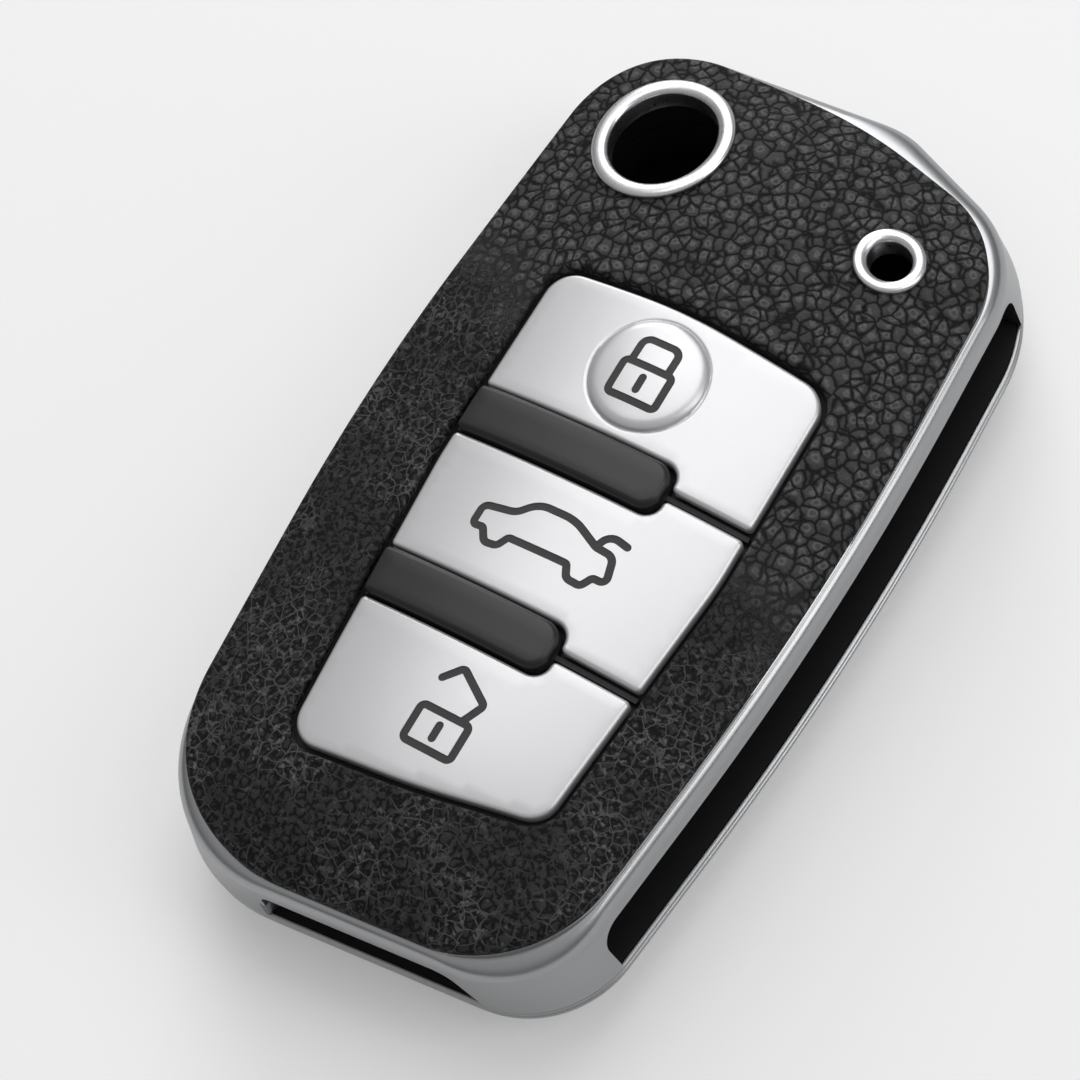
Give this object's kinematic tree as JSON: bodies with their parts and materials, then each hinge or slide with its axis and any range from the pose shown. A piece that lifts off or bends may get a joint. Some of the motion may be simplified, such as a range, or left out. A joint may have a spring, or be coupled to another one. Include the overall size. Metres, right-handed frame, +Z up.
{
  "type": "key fob cover",
  "caption": "Leather-faced alloy cover that closes round a folding car key, with press-in button panels, ringed openings for release button and lamp, and slots for blade and key ring.",
  "frame": {"origin": "under the middle of the cover's box, on the surface that its leather back lies on", "axes": "+X to the side where the key blade swings out, +Y along the cover to the blade's pivot end, +Z up out of the face with the buttons"},
  "size_m": [0.0444, 0.0792, 0.017],
  "materials": {
    "satin_alloy": "satin",
    "bright_alloy": "polished",
    "black_leather": "grained",
    "black_liner": "matte",
    "black_pad": "matte",
    "grey_bar": "satin",
    "silver_panel": "satin silver paint",
    "sign_fill": "matte"
  },
  "bodies": {
    "back_half": {"back_frame": "satin_alloy", "back_leather": "black_leather", "back_liner": "black_liner"},
    "front_half": {"front_frame": "satin_alloy", "front_plate": "satin_alloy", "front_leather": "black_leather", "release_eyelet": "bright_alloy", "lamp_eyelet": "bright_alloy", "front_liner": "black_liner", "button_pad": "black_pad", "upper_bar": "grey_bar", "lower_bar": "grey_bar"},
    "lock_key": {"lock_button": "silver_panel", "lock_sign": "sign_fill", "lock_keyhole": "sign_fill"},
    "trunk_key": {"trunk_button": "silver_panel", "trunk_sign": "sign_fill"},
    "unlock_key": {"unlock_button": "silver_panel", "unlock_sign": "sign_fill", "unlock_keyhole": "sign_fill"}
  },
  "joints": [
    {"name": "front_lift", "type": "slide", "parent": "back_half", "child": "front_half", "axis": [0, 0, 1], "range_m": [0, 0.02]},
    {"name": "lock_press", "type": "slide", "parent": "front_half", "child": "lock_key", "axis": [0, 0, -1], "range_m": [0, 0.0006], "stiffness_N_per_m": 1500},
    {"name": "trunk_press", "type": "slide", "parent": "front_half", "child": "trunk_key", "axis": [0, 0, -1], "range_m": [0, 0.0006], "stiffness_N_per_m": 1500},
    {"name": "unlock_press", "type": "slide", "parent": "front_half", "child": "unlock_key", "axis": [0, 0, -1], "range_m": [0, 0.0006], "stiffness_N_per_m": 1500}
  ]
}
